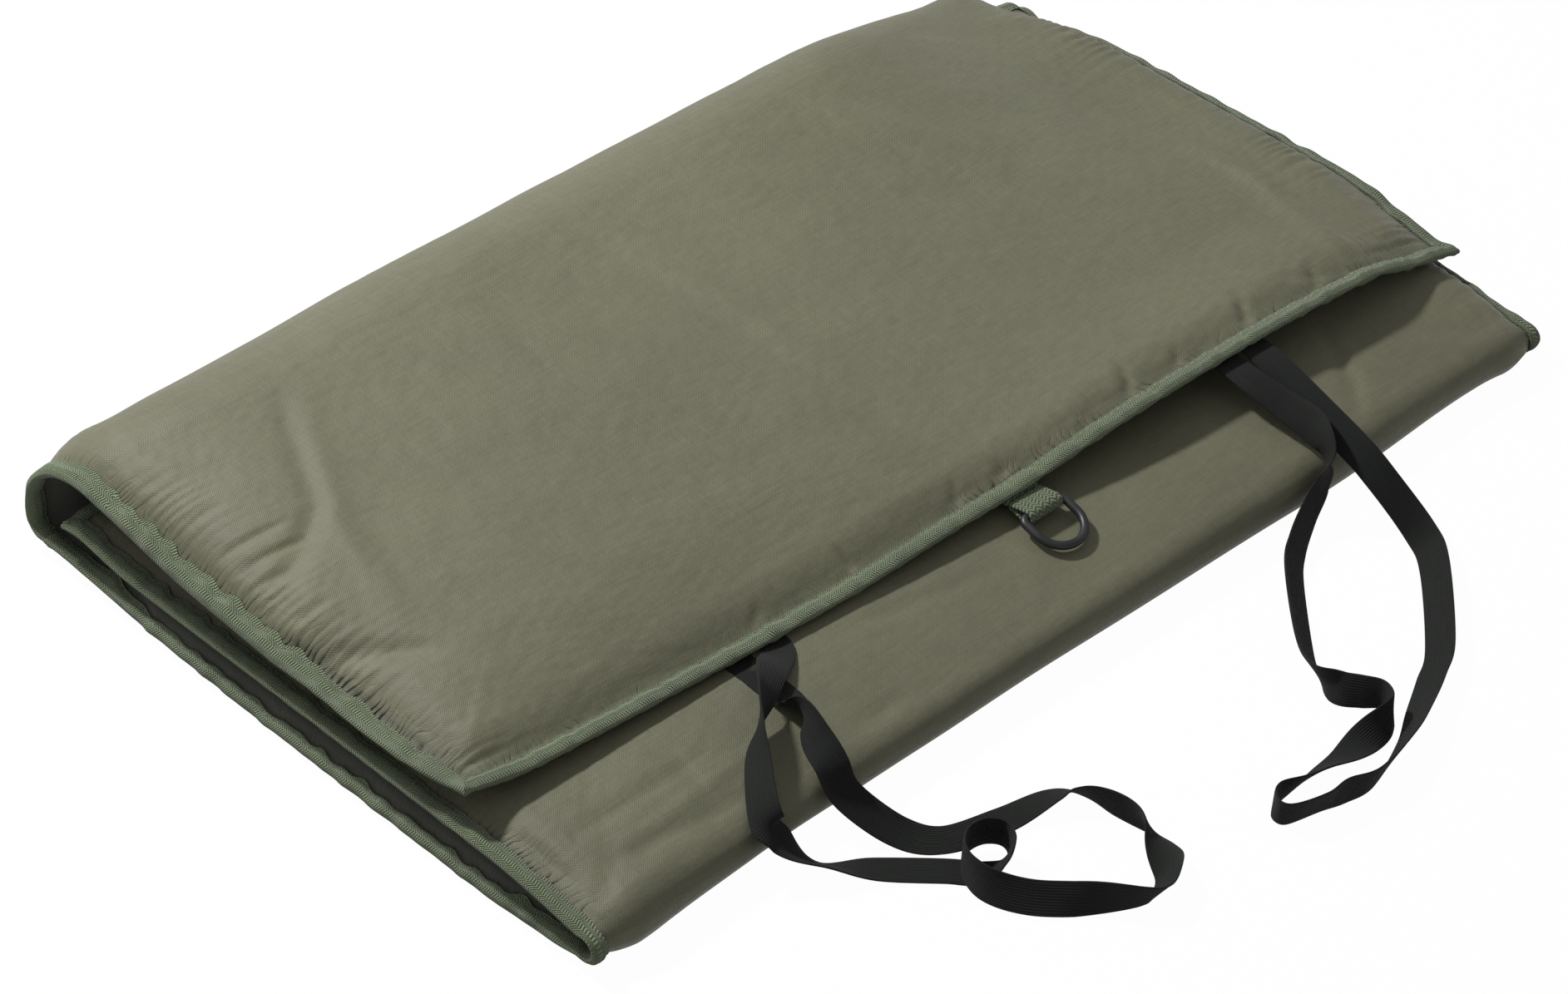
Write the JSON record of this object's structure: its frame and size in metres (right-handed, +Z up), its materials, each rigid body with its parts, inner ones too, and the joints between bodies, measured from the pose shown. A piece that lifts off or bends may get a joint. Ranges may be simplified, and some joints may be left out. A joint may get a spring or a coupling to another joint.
{
  "type": "unhooking mat",
  "caption": "Padded fish unhooking mat folded in three, with bound edges, elastic carry loops, a webbing tab and a D-ring.",
  "frame": {"origin": "on the ground, in the middle of the folded mat's footprint, without the elastic loops", "axes": "+Z up, +X along the folds, -Y towards the front fold, +Y towards the back fold"},
  "size_m": [0.6, 0.5069, 0.0698],
  "materials": {
    "outer_cloth": "satin",
    "inner_cloth": "matte",
    "binding_cloth": "matte",
    "thread": "matte",
    "foam": "matte",
    "webbing": "matte",
    "elastic": "matte",
    "ring_plastic": "satin"
  },
  "bodies": {
    "base": {"bottom_foam": "foam", "bottom_outer_cover": "outer_cloth", "bottom_inner_cover": "inner_cloth", "bottom_binding_left": "binding_cloth", "bottom_binding_right": "binding_cloth", "front_fold_foam": "foam", "front_fold_outer_cover": "outer_cloth", "front_fold_inner_cover": "inner_cloth", "front_fold_binding_left": "binding_cloth", "front_fold_binding_right": "binding_cloth", "inner_flap_foam": "foam", "inner_flap_outer_cover": "outer_cloth", "inner_flap_inner_cover": "inner_cloth", "inner_flap_binding_left": "binding_cloth", "inner_flap_binding_right": "binding_cloth", "inner_flap_binding_rear": "binding_cloth", "inner_flap_stitching": "thread"},
    "fold_lower": {"fold_lower_foam": "foam", "fold_lower_outer_cover": "outer_cloth", "fold_lower_inner_cover": "inner_cloth", "fold_lower_binding_left": "binding_cloth", "fold_lower_binding_right": "binding_cloth"},
    "fold_middle": {"fold_middle_foam": "foam", "fold_middle_outer_cover": "outer_cloth", "fold_middle_inner_cover": "inner_cloth", "fold_middle_binding_left": "binding_cloth", "fold_middle_binding_right": "binding_cloth"},
    "fold_upper": {"fold_upper_foam": "foam", "fold_upper_outer_cover": "outer_cloth", "fold_upper_inner_cover": "inner_cloth", "fold_upper_binding_left": "binding_cloth", "fold_upper_binding_right": "binding_cloth"},
    "top_flap": {"top_flap_foam": "foam", "top_flap_outer_cover": "outer_cloth", "top_flap_inner_cover": "inner_cloth", "top_flap_binding_left": "binding_cloth", "top_flap_binding_right": "binding_cloth", "top_flap_binding_front": "binding_cloth", "top_flap_stitching": "thread", "webbing_tab_sewn_end": "webbing", "elastic_loop_left": "elastic", "elastic_loop_right": "elastic"},
    "webbing_tab": {"webbing_tab": "webbing"},
    "d_ring": {"d_ring": "ring_plastic"}
  },
  "joints": [
    {"name": "fold_hinge_1", "type": "hinge", "parent": "base", "child": "fold_lower", "pos_m": [0, 0.17215, 0.00131], "axis": [-1, 0, 0], "range_deg": [0, 46.2]},
    {"name": "fold_hinge_2", "type": "hinge", "parent": "fold_lower", "child": "fold_middle", "pos_m": [0, 0.18098, 0.01054], "axis": [-1, 0, 0], "range_deg": [0, 46.2]},
    {"name": "fold_hinge_3", "type": "hinge", "parent": "fold_middle", "child": "fold_upper", "pos_m": [0, 0.17772, 0.04273], "axis": [-1, 0, 0], "range_deg": [0, 46.2]},
    {"name": "fold_hinge_4", "type": "hinge", "parent": "fold_upper", "child": "top_flap", "pos_m": [0, 0.14917, 0.06765], "axis": [-1, 0, 0], "range_deg": [0, 46.2]},
    {"name": "tab_hinge", "type": "hinge", "parent": "top_flap", "child": "webbing_tab", "pos_m": [0.016, -0.11817, 0.03546], "axis": [-1, 0, 0], "range_deg": [0, 60]},
    {"name": "ring_hinge", "type": "hinge", "parent": "webbing_tab", "child": "d_ring", "pos_m": [0.016, -0.12867, 0.03546], "axis": [-1, 0, 0], "range_deg": [0, 110]}
  ],
  "couplings": [
    {"joint": "fold_hinge_2", "follows": "fold_hinge_1", "ratio": 1},
    {"joint": "fold_hinge_3", "follows": "fold_hinge_1", "ratio": 1},
    {"joint": "fold_hinge_4", "follows": "fold_hinge_1", "ratio": 1}
  ]
}
